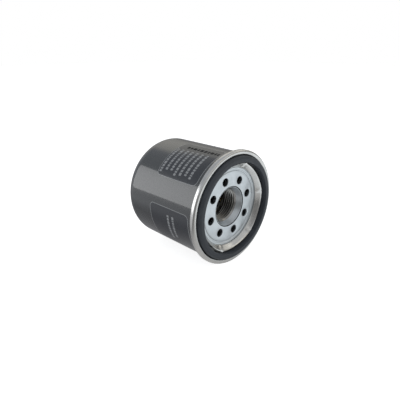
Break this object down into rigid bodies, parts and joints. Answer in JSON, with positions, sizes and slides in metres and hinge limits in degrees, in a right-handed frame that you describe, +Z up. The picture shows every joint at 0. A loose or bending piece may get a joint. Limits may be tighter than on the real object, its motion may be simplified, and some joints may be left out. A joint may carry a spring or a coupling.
{
  "type": "spin-on oil filter",
  "caption": "Spin-on engine oil filter: painted can rolled onto a threaded tapping plate with a sealing gasket, around a sprung pleated element with bypass and drain-back valves.",
  "frame": {"origin": "centre of the gasket's sealing face, on the thread's axis", "axes": "+X along the filter's axis, out of the open threaded end; +Z up as the filter lies on its side"},
  "size_m": [0.0665, 0.068, 0.068],
  "materials": {
    "can_paint": "gloss",
    "lid_steel": "bright rolled",
    "plate_steel": "satin zinc",
    "gasket_rubber": "matte",
    "valve_rubber": "matte",
    "sealing_compound": "matte",
    "cap_steel": "tinplate",
    "adhesive": "cured",
    "filter_paper": "creased paper",
    "spring_steel": "drawn wire"
  },
  "bodies": {
    "housing": {"can": "can_paint", "seaming_lid": "lid_steel", "seam_compound": "sealing_compound", "tapping_plate": "plate_steel", "gasket": "gasket_rubber", "hold_down_spring": "spring_steel"},
    "element": {"front_end_cap": "cap_steel", "front_potting": "adhesive", "filter_media": "filter_paper", "media_clip": "cap_steel", "centre_tube": "cap_steel", "rear_potting": "adhesive", "rear_end_cap": "cap_steel", "bypass_seat": "cap_steel", "bypass_cage": "cap_steel", "bypass_spring": "spring_steel", "spring_seat": "cap_steel"},
    "bypass_poppet": {"bypass_disc": "cap_steel", "bypass_seal": "gasket_rubber"},
    "drainback_lip": {"drainback_valve": "valve_rubber"}
  },
  "joints": [
    {"name": "element_float", "type": "slide", "parent": "housing", "child": "element", "axis": [-1, 0, 0], "range_m": [0, 0.0015], "stiffness_N_per_m": 3000, "springref_m": -0.008, "deforming": ["hold_down_spring"]},
    {"name": "bypass_opening", "type": "slide", "parent": "element", "child": "bypass_poppet", "axis": [1, 0, 0], "range_m": [0, 0.0025], "stiffness_N_per_m": 1500, "springref_m": -0.006, "deforming": ["bypass_spring"]},
    {"name": "drainback_opening", "type": "slide", "parent": "element", "child": "drainback_lip", "axis": [-1, 0, 0], "range_m": [0, 0.0015], "stiffness_N_per_m": 400, "springref_m": -0.002, "deforming": ["drainback_valve"]}
  ]
}
